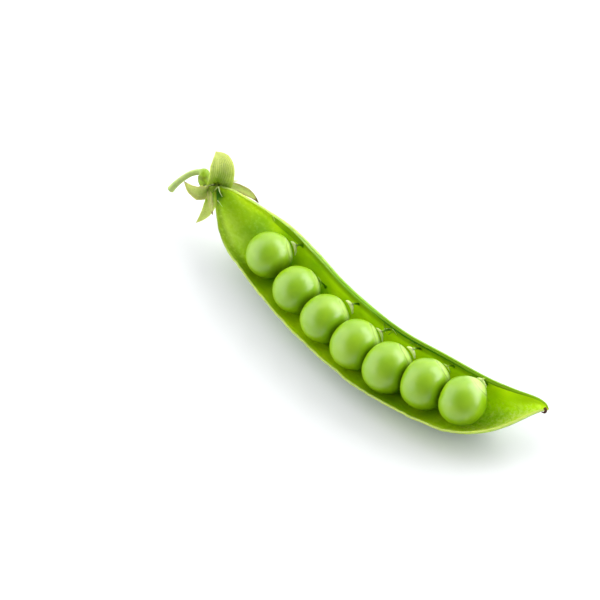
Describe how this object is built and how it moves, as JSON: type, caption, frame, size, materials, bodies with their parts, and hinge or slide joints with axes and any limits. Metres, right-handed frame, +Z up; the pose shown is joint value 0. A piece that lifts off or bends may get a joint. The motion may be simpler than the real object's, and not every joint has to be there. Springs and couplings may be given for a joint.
{
  "type": "pea pod",
  "caption": "Half of a split garden pea pod lying open side up, with its row of peas on short seed stalks, a leafy calyx and a hooked flower stalk",
  "frame": {"origin": "on the surface that the pod lies on, under the middle of its bounding box", "axes": "+Z up, away from the surface; +X along the pod from the stem end to the tip; +Y across it, to the side of the seed seam"},
  "size_m": [0.0968, 0.0238, 0.0143],
  "materials": {
    "pod_skin": "satin",
    "calyx": "matte",
    "stalk": "satin",
    "pea": "satin",
    "seed_stalk": "satin"
  },
  "bodies": {
    "root": {"pod_valve": "pod_skin", "calyx": "calyx", "stalk": "stalk", "pea_1": "pea", "pea_2": "pea", "pea_3": "pea", "pea_4": "pea", "pea_5": "pea", "pea_6": "pea", "pea_7": "pea", "seed_stalk_1": "seed_stalk", "seed_stalk_2": "seed_stalk", "seed_stalk_3": "seed_stalk", "seed_stalk_4": "seed_stalk", "seed_stalk_5": "seed_stalk", "seed_stalk_6": "seed_stalk", "seed_stalk_7": "seed_stalk"}
  },
  "joints": []
}
